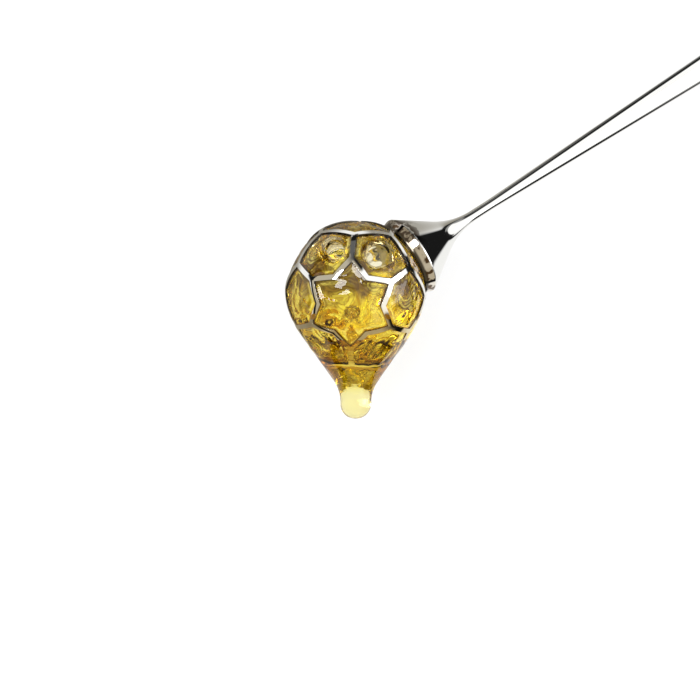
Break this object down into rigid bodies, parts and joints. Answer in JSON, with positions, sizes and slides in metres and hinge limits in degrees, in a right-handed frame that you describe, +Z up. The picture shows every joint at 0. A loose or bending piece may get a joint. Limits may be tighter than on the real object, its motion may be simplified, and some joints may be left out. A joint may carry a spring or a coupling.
{
  "type": "honey dipper",
  "caption": "Openwork metal ball with star-shaped windows, full of honey that hangs in a short drop, on a trumpet-shaped neck and a slender stem with a flat end.",
  "frame": {"origin": "middle of the underside of the dipper and its honey together, on the surface it lies on", "axes": "+X runs from the ball to the flat end of the stem, +Z up; the shown star of the ball is turned up and a little back, and the drop hangs towards -Y"},
  "size_m": [0.1716, 0.0426, 0.0322],
  "materials": {
    "steel": "mirror-polished stainless steel",
    "honey": "clear glossy golden honey"
  },
  "bodies": {
    "root": {"dipper": "steel", "honey": "honey"}
  },
  "joints": []
}
